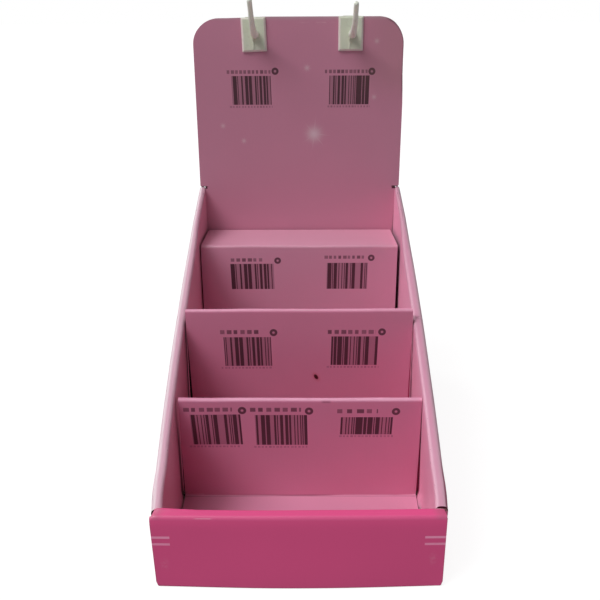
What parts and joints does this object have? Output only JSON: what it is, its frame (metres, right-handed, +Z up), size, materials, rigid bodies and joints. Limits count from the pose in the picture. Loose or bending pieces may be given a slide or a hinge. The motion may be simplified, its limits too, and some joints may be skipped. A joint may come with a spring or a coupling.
{
  "type": "cardboard display stand",
  "caption": "Counter display stand of folded corrugated board: sloping rolled-over side walls, a stepped insert with dividers and a shelf, a tall back card and clip-on hooks.",
  "frame": {"origin": "on the floor under the middle of the tray", "axes": "+X to the right as seen from the front, +Y from the front wall to the back wall, +Z up"},
  "size_m": [0.1706, 0.2836, 0.3161],
  "materials": {
    "tray_board": "printed, satin",
    "card_board": "printed, satin",
    "insert_board": "printed, satin",
    "hook_plastic": "moulded, satin"
  },
  "bodies": {
    "root": {"tray": "tray_board", "header_card": "card_board", "step_insert": "insert_board", "hook_left": "hook_plastic", "hook_right": "hook_plastic"}
  },
  "joints": []
}
